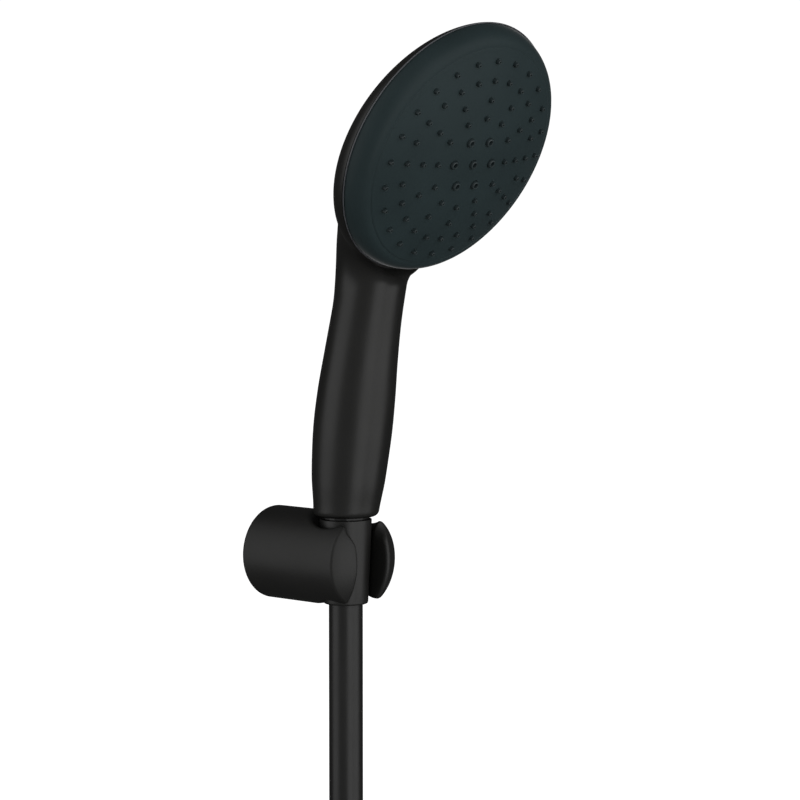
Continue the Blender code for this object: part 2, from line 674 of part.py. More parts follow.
def coil_tie(number, angle, low, high, inner, outer, line):
    """Flat strap around the section of the coil; the angle runs down from +Y."""
    middle = Vector(((low + high) / 2, COIL_RADIUS * cos(angle),
                     COIL_Z - COIL_RADIUS * sin(angle)))
    outward = Vector((0.0, cos(angle), -sin(angle)))
    frame = Matrix((Vector((1.0, 0.0, 0.0)), outward, Vector((1.0, 0.0, 0.0)).cross(outward)))
    place = frame.transposed().to_4x4()
    place.translation = middle
    sag = TIE_WIDTH ** 2 / 8 / inner
    half_x = (high - low) / 2 + GAP
    half_r = (outer - inner) / 2 + GAP + sag
    name = f"coil_tie_{number}"
    strap = rounded_block(name, half_x + TIE_THICKNESS, half_r + TIE_THICKNESS, TIE_WIDTH,
                          PART, place)
    hole = rounded_block(name + "_cutter", half_x, half_r, TIE_WIDTH * 2, CUTTERS, place)
    combine(strap, hole, "DIFFERENCE")
    finish(strap, (RUBBER, 0.6), line)


def rounded_block(name, half_x, half_y, depth, group, place):
    corner = 0.003
    outline = []
    for turn, (sx, sy) in enumerate(((1, 1), (-1, 1), (-1, -1), (1, -1))):
        for i in range(4):
            angle = pi / 2 * (turn + i / 3)
            outline.append((sx * (half_x - corner) + corner * cos(angle),
                            sy * (half_y - corner) + corner * sin(angle)))
    return plate(name, outline, depth / 2, group, place)


def hose_end_pieces(line, spinner):
    """Ferrule, swivel tail, union nut and washer on the far end."""
    bottom = COIL_Z - TAIL_LENGTH
    flip = Matrix.Rotation(pi, 4, "X")
    place = Matrix.Translation((TAIL_X, COIL_RADIUS, 0.0))
    sleeve = washer("hose_ferrule_bottom", 0.0042, 0.0090, bottom - FERRULE_LENGTH, bottom,
                    PART, place)
    finish(sleeve, (BRASS, 0.35, 1.0), line)
    collar = bottom - END_TAIL_DROP
    foot = place @ Matrix.Translation((0.0, 0.0, collar)) @ flip
    hose_end("hose_tail_bottom", foot, line)

    shape = bpy.data.meshes.new("hose_end_nut")
    work = bmesh.new()
    bmesh.ops.create_cone(work, cap_ends=True, segments=6, radius1=END_NUT_CORNER,
                          radius2=END_NUT_CORNER, depth=END_NUT_HEIGHT)
    work.to_mesh(shape)
    work.free()
    nut = bpy.data.objects.new("hose_end_nut", shape)
    PART.objects.link(nut)
    nut.matrix_world = place @ Matrix.Translation((0.0, 0.0, bottom - END_NUT_DROP))
    low = bottom - END_NUT_DROP - END_NUT_HEIGHT
    shelf = collar - 0.0012
    bore = [(0.0, bottom), (0.0078, bottom), (0.0078, shelf), (0.0098, shelf),
            (0.0098, low), (0.0, low)]
    combine(nut, turned("end_nut_cutter", bore, CUTTERS, place, steps=24), "DIFFERENCE")
    finish(nut, (STEEL, 0.3, 1.0), spinner)
    high = collar - 0.0041 - GAP
    ring = washer("hose_washer_bottom", 0.0055, 0.0094, high - 0.0022, high, PART, place, 24)
    finish(ring, (RUBBER, 0.6), line)


# --- assembly -----------------------------------------------------------------------
clear_scene()
PART = new_collection("hand_shower_set")
CUTTERS = new_collection("cutters")
FRAME = head_frame()
SWING_ANGLE = acos(1 - COIL_RADIUS / (2 * SWING_RADIUS))
COIL_Z = HOSE_STRAIGHT - 2 * SWING_RADIUS * sin(SWING_ANGLE)
TAIL_X = NUT_X + COIL_TURNS * (2 * HOSE_RADIUS + 0.0004)

hose_line = joint_empty("hose_line_slide", (NUT_X, 0.0, NUT_TOP))
handset = joint_empty("handset_pivot", (NUT_X, 0.0, HANDLE_LEVEL), hose_line)
end_nut = joint_empty("end_nut_pivot", (TAIL_X, COIL_RADIUS, COIL_Z - TAIL_LENGTH), hose_line)

holder_body()
wall_bracket()
grub_screw()
handset_shell(handset)
rim_ring(handset)
spray_face(handset)
nozzles(handset)
distributor(handset)
water_way(handset)
cone_nut(handset)
hose_end("hose_tail_top", Matrix.Translation((NUT_X, 0.0, 0.0)), hose_line)
hose(hose_line)
hose_end_pieces(hose_line, end_nut)
for cutter in CUTTERS.objects:
    hide_cutter(cutter)
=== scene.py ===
"""Looks of the hand shower set: handset in its wall holder, with its hose.

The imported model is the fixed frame. Everything is in metres: the wall is x = 0,
+X points into the room and +Z up.
"""
from math import acos, cos, pi, radians, sin, sqrt

import bmesh
import bpy
import numpy as np
from mathutils import Matrix, Vector


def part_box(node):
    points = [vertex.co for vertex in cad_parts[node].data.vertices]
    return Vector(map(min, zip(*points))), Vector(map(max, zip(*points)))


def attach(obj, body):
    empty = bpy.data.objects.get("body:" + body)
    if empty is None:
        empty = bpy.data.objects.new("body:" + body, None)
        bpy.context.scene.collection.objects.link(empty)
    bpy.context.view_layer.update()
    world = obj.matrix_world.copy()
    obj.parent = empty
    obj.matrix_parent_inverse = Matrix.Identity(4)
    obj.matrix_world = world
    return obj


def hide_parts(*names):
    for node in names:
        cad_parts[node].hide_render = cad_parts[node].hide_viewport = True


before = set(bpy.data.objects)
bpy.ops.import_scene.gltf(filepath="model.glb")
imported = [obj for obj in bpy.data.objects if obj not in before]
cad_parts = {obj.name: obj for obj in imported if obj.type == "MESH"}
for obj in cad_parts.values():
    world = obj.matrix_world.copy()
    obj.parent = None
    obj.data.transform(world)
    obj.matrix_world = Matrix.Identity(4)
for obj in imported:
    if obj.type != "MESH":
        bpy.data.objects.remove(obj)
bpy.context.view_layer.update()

# --- places read from the frame --------------------------------------------------
GAP = 0.0003
NUT_LOW, NUT_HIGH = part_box("cone_nut")
NUT_X = (NUT_LOW.x + NUT_HIGH.x) / 2
NUT_BOTTOM, NUT_TOP = NUT_LOW.z, NUT_HIGH.z
NUT_TOP_RADIUS = (NUT_HIGH.y - NUT_LOW.y) / 2
NUT_BOTTOM_RADIUS = 0.00985
NUT_SHELF = 0.0012              # step between the thread and the hose bore
NUT_BORE = 0.0079
THREAD_RADIUS = 0.0096
HOLDER_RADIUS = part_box("holder_body")[1].y
HANDLE_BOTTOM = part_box("handset_shell")[0].z
HANDLE_LEVEL = 0.0190            # level from which the handle's heights run
END_NUT = [sum(pair) / 2 for pair in zip(*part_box("hose_end_nut"))]

# --- the holder ------------------------------------------------------------------
HOLDER_LENGTH = 0.0544          # wall to the edge of the domed end
DOME_RADIUS = 0.031
POCKET_RADIUS = 0.0153
POCKET_DEPTH = 0.012
SLOT_HALF = 0.0092
SLOT_FLARE_TOP = (0.008, 0.167)         # where the slot starts to open out, and how fast
SLOT_FLARE_BOTTOM = (0.0155, 0.05)
FLARE_POWER = 1.6
MOUTH_START = 0.0520            # the flare is cut in the domed end only
MOUTH_DEPTH = 0.0060
FUNNEL_TOP = (0.012, 0.5)       # where the socket starts to widen, and its slope
FUNNEL_BOTTOM = (0.016, 0.4)
HORN_ROUND = 0.0026             # rounding of the fork's edges
GRUB_X = 0.006
GRUB_RADIUS = 0.0028
GRUB_TOP = -0.0144
HOLDER_GRID = 0.00045           # spacing of the holder's mesh

# --- the handset -----------------------------------------------------------------
HEAD_RADIUS = 0.0573
HEAD_DEPTH = 0.0235
HEAD_SHEAR = 0.5                # the back of the head leans towards the handle
BOWL_EDGE = -0.0005             # where the straight side of the bowl ends
LIP = -0.0009                   # top edge of the housing
WALL = 0.0028
RIM_MIDDLE = -0.0005            # middle of the rim ring, from the rim's own plane
FACE_RADIUS = 0.0566
FIELD_RADIUS = 0.0500
FIELD_HEIGHT = 0.0162
FIELD_CURVE = 0.1850
FACE_THICKNESS = 0.002
FACE_EDGE = -0.0009
NOZZLE_RINGS = ((0.0207, 12), (0.0286, 12), (0.0367, 24), (0.0447, 24))
NOZZLE_TURN = radians(2.7)      # the whole pattern stands a little turned
CENTRE_RING = 0.0115
INSERT_RADIUS = 0.0168
SMALL_HOLE = (0.0014, 0.0013, 0.00118)          # radii above, at and below the surface
LARGE_HOLE = (0.0024, 0.0022, 0.00208)
SMALL_NOZZLE = (0.00105, 0.00040, 0.0016)       # radius, orifice and height
LARGE_NOZZLE = (0.0019, 0.0011, 0.0012)
MAT_THICKNESS = 0.0012
HANDLE_LEAN = 0.0862
HANDLE_CURVE = 0.648
HOOK_START = 0.104
HOOK_CURVE = 5.6
HANDLE_LOW = -0.0200            # lowest height that the handle's rule is asked for
FOOT_ROUND = 0.0030
NECK_BLEND = (0.009, 0.015)     # blend at the rim, and what the back adds to it
NECK_DEPTH = 0.026
BORE_WALL = 0.0034
INLET_RADIUS = 0.0113
INLET_TOP = 0.0430
HOUSING_GRID = 0.0008           # spacing of the housing's mesh
HANDLE_STATIONS = (             # height above the foot, radius
    (HANDLE_LOW, 0.0143), (0.0042, 0.0146), (0.0160, 0.0161), (0.0260, 0.0168),
    (0.0400, 0.01735), (0.0540, 0.0171), (0.0720, 0.0161), (0.0900, 0.0153),
    (0.0985, 0.0152), (0.1080, 0.0153), (0.1200, 0.0169), (0.1340, 0.0194),
    (0.1480, 0.0182), (0.1600, 0.0145), (0.1720, 0.0080))

# --- the hose ----------------------------------------------------------------------
HOSE_RADIUS = 0.0075
HOSE_START = -0.008
HOSE_STRAIGHT = -0.124          # where it starts to swing to the side
COIL_RADIUS = 0.075
COIL_TURNS = 2
COIL_PITCH = 2 * HOSE_RADIUS + 0.0004
SWING_RADIUS = 0.070
TAIL_LENGTH = 0.054
SWING_ANGLE = acos(1 - COIL_RADIUS / (2 * SWING_RADIUS))
COIL_Z = HOSE_STRAIGHT - 2 * SWING_RADIUS * sin(SWING_ANGLE)
TIE_ANGLES = (150.0, 240.0)     # degrees, running down from +Y
TIE_HALF_WIDTH = 0.006
TIE_THICKNESS = 0.0013
TIE_CORNER = 0.0066
TAIL_BORE = 0.0042
FERRULE_GROOVES = 4
FERRULE_PITCH = 0.0033
FERRULE_DEPTH = 0.0006
END_NUT_CORNER = 0.0139
END_NUT_SHELF = 0.0151
END_NUT_BORE = 0.0098

# --- camera and room ----------------------------------------------------------------
CAMERA_PLACE = Vector((0.87738, -0.88235, 0.15986))
CAMERA_TURN = radians(42.239)
CAMERA_PITCH = radians(4.2247)  # how far it looks down
CAMERA_LENS = 125.01
LIGHT_AIM = Vector((0.06, 0.0, 0.08))
LIGHT_BOXES = (                 # name, degrees to the right, rise, distance, size, radiance
    ("left_box", -74.0, 0.35, 1.3, 1.25, 2.3, 0.72),
    ("front_box", 30.0, 0.0, 0.9, 0.60, 1.5, 0.95),
    ("right_box", 74.0, 0.1, 1.3, 1.1, 1.8, 0.85))
FLOOR_Z = -0.75


# --- mesh tools -----------------------------------------------------------------------
def disc_frame(node, offset):
    """Frame of a turned node: local Z is its axis, local X climbs."""
    points = np.array([v.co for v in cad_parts[node].data.vertices])
    middle = points.mean(0)
    axes = np.linalg.svd(points - middle, full_matrices=False)[2]
    spread = (points - middle) @ axes.T
    middle = middle + ((spread.min(0) + spread.max(0)) / 2) @ axes
    outward = Vector(axes[2])
    if outward.x < 0:
        outward = -outward
    outward.y = 0.0
    outward.normalize()
    upward = Vector((-outward.z, 0.0, outward.x))
    place = Matrix((upward, outward.cross(upward), outward)).transposed().to_4x4()
    place.translation = Vector((middle[0], 0.0, middle[2])) + outward * offset
    return place


def new_object(name, mesh):
    piece = bpy.data.objects.new(name, mesh)
    bpy.context.scene.collection.objects.link(piece)
    return piece


def fillet(points, radius, closed=False, steps=4):
    """Round the corners of a profile; radius is one number or one for each point."""
    count = len(points)
    radii = [radius] * count if isinstance(radius, (int, float)) else radius
    made = []
    for i, (point, size) in enumerate(zip(points, radii)):
        if size == 0 or (not closed and i in (0, count - 1)):
            made.append(tuple(point))
            continue
        corner = Vector(point)
        before = Vector(points[i - 1]) - corner
        after = Vector(points[(i + 1) % count]) - corner
        reach = min(size, 0.48 * before.length, 0.48 * after.length)
        start = corner + before.normalized() * reach
        end = corner + after.normalized() * reach
        for k in range(steps + 1):
            t = k / steps
            made.append(tuple(start * (1 - t) ** 2 + corner * 2 * t * (1 - t) + end * t * t))
    return made


def revolve(profile, steps=144, place=None, closed=False):
    """Turn (radius, height) points about Z; the profile runs down its outer side."""
    work = bmesh.new()
    rings = []
    for radius, height in profile:
        if radius < 1e-7:
            rings.append([work.verts.new((0.0, 0.0, height))])
            continue
        rings.append([work.verts.new((radius * cos(2 * pi * i / steps),
                                      radius * sin(2 * pi * i / steps), height))
                      for i in range(steps)])
    pairs = list(zip(rings, rings[1:]))
    if closed:
        pairs.append((rings[-1], rings[0]))
    for upper, lower in pairs:
        for i in range(steps):
            j = (i + 1) % steps
            corners = [upper[i % len(upper)], lower[i % len(lower)],
                       lower[j % len(lower)], upper[j % len(upper)]]
            corners = list(dict.fromkeys(corners))
            if len(corners) > 2:
                work.faces.new(corners)
    mesh = bpy.data.meshes.new("turned")
    work.to_mesh(mesh)
    work.free()
    if place is not None:
        mesh.transform(place)
    return mesh


def smooth_by_angle(mesh, degrees=38.0):
    mesh.shade_smooth()
    mesh.set_sharp_from_angle(angle=radians(degrees))
    return mesh


def turned_piece(name, profile, place=None, steps=144, closed=False):
    return new_object(name, smooth_by_angle(revolve(profile, steps, place, closed)))


def join_meshes(meshes, name):
    work = bmesh.new()
    for mesh in meshes:
        work.from_mesh(mesh)
        bpy.data.meshes.remove(mesh)
    joined = bpy.data.meshes.new(name)
    work.to_mesh(joined)
    work.free()
    return joined


def through_modifier(mesh, kind, **settings):
    """The mesh after one modifier."""
    holder = new_object("work", mesh)
    step = holder.modifiers.new(kind.lower(), kind)
    for key, value in settings.items():
        setattr(step, key, value)
    bpy.context.view_layer.update()
    graph = bpy.context.evaluated_depsgraph_get()
    made = bpy.data.meshes.new_from_object(holder.evaluated_get(graph))
    bpy.data.objects.remove(holder)
    return made


def boolean(mesh, other, operation):
    cutter = new_object("cutter", other)
    made = through_modifier(mesh, "BOOLEAN", operation=operation, solver="MANIFOLD", object=cutter)
    bpy.data.objects.remove(cutter)
    return made


def tube_mesh(points, radii, sides=24, caps=True, uv=False):
    """A tube along points, with its length and turn as UV."""
    points = [Vector(p) for p in points]
    work = bmesh.new()
    rings = []
    tangent = (points[1] - points[0]).normalized()
    side = tangent.orthogonal().normalized()
    for i, (point, radius) in enumerate(zip(points, radii)):
        ahead = points[min(i + 1, len(points) - 1)] - points[max(i - 1, 0)]
        turn = tangent.rotation_difference(ahead)
        tangent = ahead.normalized()
        side = turn @ side
        side = (side - tangent * side.dot(tangent)).normalized()
        other = tangent.cross(side)
        rings.append([work.verts.new(point + radius * (side * cos(2 * pi * k / sides)
                                                       + other * sin(2 * pi * k / sides)))
                      for k in range(sides)])
    faces = []
    for i, (first, second) in enumerate(zip(rings, rings[1:])):
        for k in range(sides):
            n = (k + 1) % sides
            faces.append((work.faces.new((first[k], first[n], second[n], second[k])), i, k))
    if uv:
        lengths = [0.0]
        for a, b in zip(points, points[1:]):
            lengths.append(lengths[-1] + (b - a).length)
        layer = work.loops.layers.uv.new("UVMap")
        for face, i, k in faces:
            corners = ((k, i), (k + 1, i), (k + 1, i + 1), (k, i + 1))
            for loop, (across, along) in zip(face.loops, corners):
                loop[layer].uv = (across / sides, lengths[along])
    if caps:
        work.faces.new(list(reversed(rings[0])))
        work.faces.new(rings[-1])
    mesh = bpy.data.meshes.new("tube")
    work.to_mesh(mesh)
    work.free()
    return mesh


# --- forms given by a distance rule ------------------------------------------------------
def smooth_min(a, b, k):
    share = np.clip(0.5 + 0.5 * (b - a) / k, 0.0, 1.0)
    return b + (a - b) * share - k * share * (1.0 - share)


def smooth_max(a, b, k):
    return -smooth_min(-a, -b, k)


def gradient(rule, points):
    """Slopes of a distance rule along X, Y and Z."""
    step = 0.00002
    slopes = np.empty_like(points)
    for axis in range(3):
        shift = np.zeros(3)
        shift[axis] = step
        slopes[:, axis] = (rule(points + shift) - rule(points - shift)) / (2 * step)
    return slopes


def settle(mesh, rule, rounds=5, longest=0.0008):
    """Move every vertex onto the surface where the rule is zero."""
    points = np.empty(len(mesh.vertices) * 3)
    mesh.vertices.foreach_get("co", points)
    points = points.reshape(-1, 3)
    for _ in range(rounds):
        slopes = gradient(rule, points)
        size = np.maximum((slopes ** 2).sum(1), 0.05)
        moves = -rule(points)[:, None] * slopes / size[:, None]
        length = np.linalg.norm(moves, axis=1)
        moves *= np.minimum(1.0, longest / np.maximum(length, 1e-12))[:, None]
        points += moves
    mesh.vertices.foreach_set("co", points.ravel())
    mesh.update()
    return mesh


def shade_from(mesh, normal_at, alike=0.85):
    """Shade each corner by the true surface wherever its face follows it."""
    count = len(mesh.loops)
    corner = np.empty(count, np.int32)
    mesh.loops.foreach_get("vertex_index", corner)
    points = np.empty(len(mesh.vertices) * 3)
    mesh.vertices.foreach_get("co", points)
    true = normal_at(points.reshape(-1, 3))
    true /= np.maximum(np.linalg.norm(true, axis=1), 1e-9)[:, None]
    flat = np.empty(len(mesh.polygons) * 3)
    mesh.polygons.foreach_get("normal", flat)
    sizes = np.empty(len(mesh.polygons), np.int32)
    mesh.polygons.foreach_get("loop_total", sizes)
    faces = np.repeat(flat.reshape(-1, 3), sizes, axis=0)
    wanted = true[corner]
    keep = (wanted * faces).sum(1) > alike
    wanted[~keep] = faces[~keep]
    mesh.shade_smooth()
    mesh.normals_split_custom_set(wanted.tolist())
    return mesh


def voxels(mesh, size):
    return through_modifier(mesh, "REMESH", mode="VOXEL", voxel_size=size)


# --- materials ------------------------------------------------------------------------------
class Look:
    """A node material whose detail comes from object coordinates."""

    def __init__(self, name, colour, roughness, metallic=0.0, **sockets):
        self.made = bpy.data.materials.new(name)
        self.made.use_nodes = True
        self.tree = self.made.node_tree
        self.shader = self.tree.nodes["Principled BSDF"]
        self.shader.inputs["Metallic"].default_value = metallic
        for key, value in sockets.items():
            self.shader.inputs[key.replace("_", " ")].default_value = value
        self.colour = colour
        self.roughness = roughness
        self.place = self.node("ShaderNodeTexCoord").outputs["Object"]
        self.height = None

    def node(self, kind, **values):
        made = self.tree.nodes.new(kind)
        for key, value in values.items():
            setattr(made, key, value)
        return made

    def link(self, source, target):
        self.tree.links.new(source, target)

    def noise(self, scale, detail=3.0, stretch=None):
        source = self.place
        if stretch is not None:
            mapping = self.node("ShaderNodeMapping")
            mapping.inputs["Scale"].default_value = stretch
            self.link(source, mapping.inputs["Vector"])
            source = mapping.outputs["Vector"]
        made = self.node("ShaderNodeTexNoise")
        made.inputs["Scale"].default_value = scale
        made.inputs["Detail"].default_value = detail
        self.link(source, made.inputs["Vector"])
        return made.outputs["Fac"]

    def ranged(self, source, low, high, start=0.35, end=0.65):
        made = self.node("ShaderNodeMapRange")
        for name, value in (("From Min", start), ("From Max", end),
                            ("To Min", low), ("To Max", high)):
            made.inputs[name].default_value = value
        self.link(source, made.inputs["Value"])
        return made.outputs["Result"]

    def vary(self, source, spread, roughness_spread):
        """Colour and roughness drift over the surface."""
        mix = self.node("ShaderNodeMix", data_type="RGBA")
        darker = [c * (1 - spread) for c in self.colour]
        lighter = [c * (1 + spread) for c in self.colour]
        mix.inputs["A"].default_value = (*darker, 1.0)
        mix.inputs["B"].default_value = (*lighter, 1.0)
        self.link(self.ranged(source, 0.0, 1.0), mix.inputs["Factor"])
        self.link(mix.outputs["Result"], self.shader.inputs["Base Color"])
        rough = self.ranged(source, self.roughness - roughness_spread,
                            self.roughness + roughness_spread)
        self.link(rough, self.shader.inputs["Roughness"])
        return self

    def bump(self, source, strength, distance):
        made = self.node("ShaderNodeBump")
        made.inputs["Strength"].default_value = strength
        made.inputs["Distance"].default_value = distance
        self.link(source, made.inputs["Height"])
        if self.height is not None:
            self.link(self.height, made.inputs["Normal"])
        self.height = made.outputs["Normal"]
        self.link(self.height, self.shader.inputs["Normal"])
        return self


def moulded(name, colour, roughness, grain=2600.0, depth=0.00003, **sockets):
    """Fine-grained moulded or powder-coated surface."""
    look = Look(name, colour, roughness, **sockets)
    look.vary(look.noise(38.0, 4.0), 0.06, 0.03)
    look.bump(look.noise(grain, 2.0), 0.35, depth)
    look.bump(look.noise(420.0, 2.0), 0.12, depth)
    return look.made


def metal(name, colour, roughness, stretch):
    """Turned or brushed metal with fine lines."""
    look = Look(name, colour, roughness, metallic=1.0)
    look.vary(look.noise(900.0, 3.0, stretch), 0.10, 0.07)
    look.bump(look.noise(2400.0, 2.0, stretch), 0.25, 0.00001)
    return look.made


def hose_skin():
    """Smooth plastic skin with the faint turns of the wire under it."""
    look = Look("hose_skin", (0.0125, 0.0125, 0.012), 0.36)
    look.vary(look.noise(60.0, 4.0), 0.06, 0.03)
    uv = look.node("ShaderNodeUVMap")
    split = look.node("ShaderNodeSeparateXYZ")
    look.link(uv.outputs["UV"], split.inputs["Vector"])
    turns = look.node("ShaderNodeMath", operation="MULTIPLY_ADD")
    turns.inputs[1].default_value = 1.0 / 0.0024
    look.link(split.outputs["Y"], turns.inputs[0])
    look.link(split.outputs["X"], turns.inputs[2])
    circle = look.node("ShaderNodeMath", operation="MULTIPLY")
    circle.inputs[1].default_value = 2 * pi
    look.link(turns.outputs[0], circle.inputs[0])
    wave = look.node("ShaderNodeMath", operation="SINE")
    look.link(circle.outputs[0], wave.inputs[0])
    look.bump(wave.outputs[0], 0.10, 0.00002)
    look.bump(look.noise(3000.0, 2.0), 0.25, 0.00002)
    return look.made


BLACK = (0.0120, 0.0120, 0.0110)
SLATE = (0.0285, 0.0450, 0.0480)


def make_looks():
    return {
        "housing": moulded("housing_black", BLACK, 0.36),
        "holder": moulded("holder_black", BLACK, 0.46, grain=2200.0),
        "nut": moulded("nut_black", BLACK, 0.38, grain=3200.0, depth=0.00002),
        "face": moulded("face_slate", SLATE, 0.46, grain=3600.0, depth=0.00002,
                        Specular_IOR_Level=0.14, Sheen_Weight=0.7, Sheen_Roughness=0.22),
        # rim ring: slate, coloured far lighter than the face as a painted highlight for the bright
        # line along its edge
        "rim": moulded("rim_painted_highlight_slate", (0.10, 0.105, 0.115), 0.22, grain=3600.0, depth=0.00001),
        "silicone": moulded("silicone_grey", (0.028, 0.042, 0.045), 0.40, grain=4200.0),
        "rubber": moulded("rubber_black", (0.018, 0.018, 0.018), 0.62, grain=1800.0),
        "white": moulded("inner_white", (0.62, 0.62, 0.60), 0.45, grain=2400.0),
        "collar": moulded("collar_black", (0.010, 0.010, 0.010), 0.35, grain=2400.0),
        "steel": metal("brushed_steel", (0.42, 0.42, 0.41), 0.32, (1.0, 1.0, 0.05)),
        "brass": metal("turned_brass", (0.47, 0.36, 0.17), 0.30, (0.05, 0.05, 1.0)),
        "hose": hose_skin(),
    }


def dress(piece, look):
    piece.data.materials.clear()
    piece.data.materials.append(LOOKS[look])
    return piece


def place_piece(piece, look, body, slot, *nodes):
    """Material, body and the nodes that the piece stands for; the slot argument is not used."""
    dress(piece, look)
    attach(piece, body)
    if nodes:
        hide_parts(*nodes)
    return piece


# --- camera and hose first ---------------------------------------------------------------------
def make_camera():
    data = bpy.data.cameras.new("camera")
    data.lens = CAMERA_LENS
    data.clip_start = 0.01
    data.clip_end = 50.0
    camera = bpy.data.objects.new("camera", data)
    bpy.context.scene.collection.objects.link(camera)
    camera.location = CAMERA_PLACE
    camera.rotation_euler = (pi / 2 - CAMERA_PITCH, 0.0, CAMERA_TURN)
    bpy.context.scene.camera = camera


def hose_path():
    """Down out of the nut, a swing to the side, two turns of coil and a tail."""
    down = [(NUT_X, 0.0, z) for z in (HOSE_START, -0.012, -0.0194, -0.027, -0.035, -0.043,
                                      -0.051, -0.058, -0.065, -0.073, -0.080, -0.088, -0.095,
                                      -0.103, -0.110, -0.117, HOSE_STRAIGHT)]
    swing = []
    for i in range(1, 25):
        angle = SWING_ANGLE * i / 24
        swing.append((NUT_X, SWING_RADIUS * (1 - cos(angle)),
                      HOSE_STRAIGHT - SWING_RADIUS * sin(angle)))
    for i in range(23, -1, -1):
        angle = SWING_ANGLE * i / 24
        swing.append((NUT_X, COIL_RADIUS - SWING_RADIUS * (1 - cos(angle)),
                      COIL_Z + SWING_RADIUS * sin(angle)))
    coil = []
    for i in range(1, COIL_TURNS * 120 + 1):
        degrees = i * 3
        part = min(1.0, (degrees % 360) / 120) if degrees % 360 else 0.0
        shift = degrees // 360 + part * part * (3 - 2 * part)
        angle = radians(degrees)
        coil.append((NUT_X + COIL_PITCH * shift, COIL_RADIUS * cos(angle),
                     COIL_Z - COIL_RADIUS * sin(angle)))
    last = coil[-1]
    tail = [(last[0], last[1], COIL_Z - TAIL_LENGTH * i / 14) for i in range(1, 15)]
    return down + swing + coil + tail


def make_hose():
    path = hose_path()
    mesh = tube_mesh(path, [HOSE_RADIUS] * len(path), sides=40, uv=True)
    smooth_by_angle(mesh)
    piece = new_object("shower_hose", mesh)
    place_piece(piece, "hose", "hose_line", "hose_skin", "hose", "hose_coil")
    return piece, path


# --- the holder ----------------------------------------------------------------------------------
def nut_radius(z):
    share = (z - NUT_BOTTOM) / (NUT_TOP - NUT_BOTTOM)
    return NUT_BOTTOM_RADIUS + share * (NUT_TOP_RADIUS - NUT_BOTTOM_RADIUS)


def holder_rule(points):
    """Barrel with a domed end, less the socket, its funnel and the slot."""
    x, y, z = points.T
    rise = DOME_RADIUS - sqrt(DOME_RADIUS ** 2 - HOLDER_RADIUS ** 2)
    centre = HOLDER_LENGTH + rise - DOME_RADIUS
    barrel = np.hypot(y, z) - HOLDER_RADIUS
    dome = np.sqrt(np.maximum(x - centre, 0.0) ** 2 + y ** 2 + z ** 2) - DOME_RADIUS
    body = smooth_max(smooth_max(barrel, dome, 0.0008), -x, 0.0014)
    funnel = 0.0
    for side, (start, slope) in ((1, FUNNEL_TOP), (-1, FUNNEL_BOTTOM)):
        funnel = funnel + slope * np.maximum(0.0, side * z - start)
    socket = np.hypot(x - NUT_X, y) - (nut_radius(z) + GAP + funnel)
    flare = 0.0
    for side, (start, rate) in ((1, SLOT_FLARE_TOP), (-1, SLOT_FLARE_BOTTOM)):
        flare = flare + rate * 0.001 * (np.maximum(0.0, side * z - start) * 1000) ** FLARE_POWER
    mouth = np.clip((x - MOUTH_START) / MOUTH_DEPTH, 0.0, 1.0)
    mouth = mouth * mouth * (3 - 2 * mouth)
    slot = np.abs(y) - (SLOT_HALF + flare * mouth)
    slot = smooth_max(slot, NUT_X - x, 0.002)
    cut = smooth_min(socket, slot, 0.0012)
    body = smooth_max(body, -cut, HORN_ROUND)
    pocket = smooth_max(np.hypot(y, z) - POCKET_RADIUS, x - POCKET_DEPTH, 0.0006)
    grub = smooth_max(np.hypot(x - GRUB_X, y) - GRUB_RADIUS, z - GRUB_TOP, 0.0006)
    return smooth_max(body, -np.minimum(pocket, grub), 0.0007)


def make_holder():
    mesh = voxels(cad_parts["holder_body"].data.copy(), HOLDER_GRID)
    settle(mesh, holder_rule, rounds=6)
    shade_from(mesh, lambda points: gradient(holder_rule, points), alike=0.8)
    place_piece(new_object("wall_holder", mesh), "holder", "holder", "black_plastic", "holder_body")


# --- the handset ----------------------------------------------------------------------------------
def to_head(points):
    """Row frame to the head's own frame."""
    inverse = np.array(HEAD.inverted())
    return points @ inverse[:3, :3].T + inverse[:3, 3]


def bowl_rule(points):
    x, y, z = to_head(points).T
    behind = np.maximum(0.0, BOWL_EDGE - z)
    radius = np.hypot(x + HEAD_SHEAR * behind, y)
    depth = HEAD_DEPTH + BOWL_EDGE
    share = np.sqrt((radius / HEAD_RADIUS) ** 2 + (behind / depth) ** 2)
    slope = np.sqrt(radius ** 2 / HEAD_RADIUS ** 4 + behind ** 2 / depth ** 4)
    slope = slope / np.maximum(share, 0.2)
    return (share - 1.0) / np.maximum(slope, 1.0)


def handle_axis(height):
    hook = np.maximum(0.0, height - HOOK_START)
    return NUT_X + HANDLE_LEAN * height + HANDLE_CURVE * height ** 2 + HOOK_CURVE * hook ** 2


def handle_radius(height):
    """Ease between the stations with smooth slopes."""
    h, r = np.array(HANDLE_STATIONS).T
    slopes = np.gradient(r, h)
    slopes[-1] = 0.0
    i = np.clip(np.searchsorted(h, height) - 1, 0, len(h) - 2)
    span = h[i + 1] - h[i]
    t = np.clip((height - h[i]) / span, 0.0, 1.0)
    return (r[i] * (1 + 2 * t) * (1 - t) ** 2 + slopes[i] * span * t * (1 - t) ** 2
            + r[i + 1] * t * t * (3 - 2 * t) + slopes[i + 1] * span * t * t * (t - 1))


